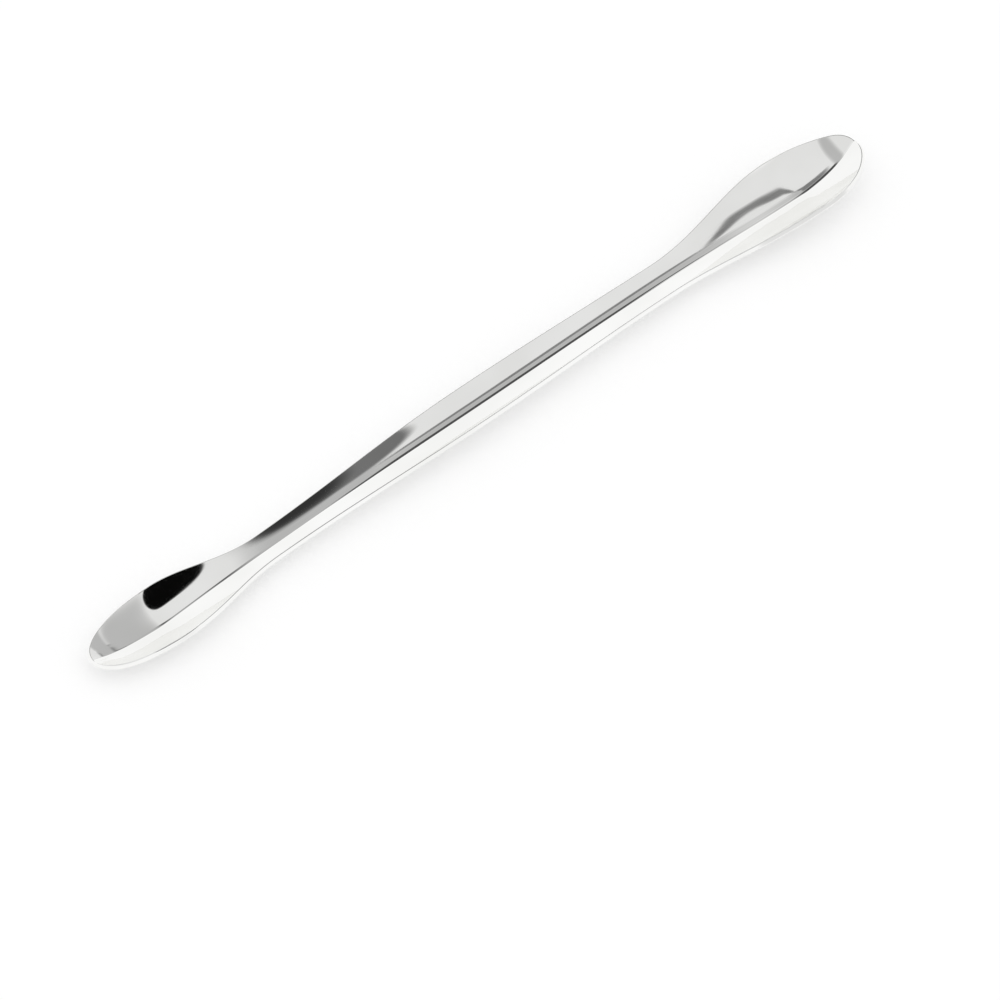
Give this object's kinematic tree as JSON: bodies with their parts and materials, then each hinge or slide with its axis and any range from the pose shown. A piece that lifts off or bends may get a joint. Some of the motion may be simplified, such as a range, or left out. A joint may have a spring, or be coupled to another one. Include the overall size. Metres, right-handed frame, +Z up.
{
  "type": "double-ended lab spatula",
  "caption": "Slim pressed steel spatula with a V crease from tip to tip and a shallow scoop at each end, for moving small amounts of powder.",
  "frame": {"origin": "on the bench, under the middle of the spatula as it lies with its scoops facing up", "axes": "+X from the small scoop to the large one, +Z up, out of the mouths of the scoops"},
  "size_m": [0.18, 0.0162, 0.006],
  "materials": {
    "polished_steel": "mirror-polished stainless steel, with a plain polished cut rim"
  },
  "bodies": {
    "root": {"spatula": "polished_steel"}
  },
  "joints": []
}
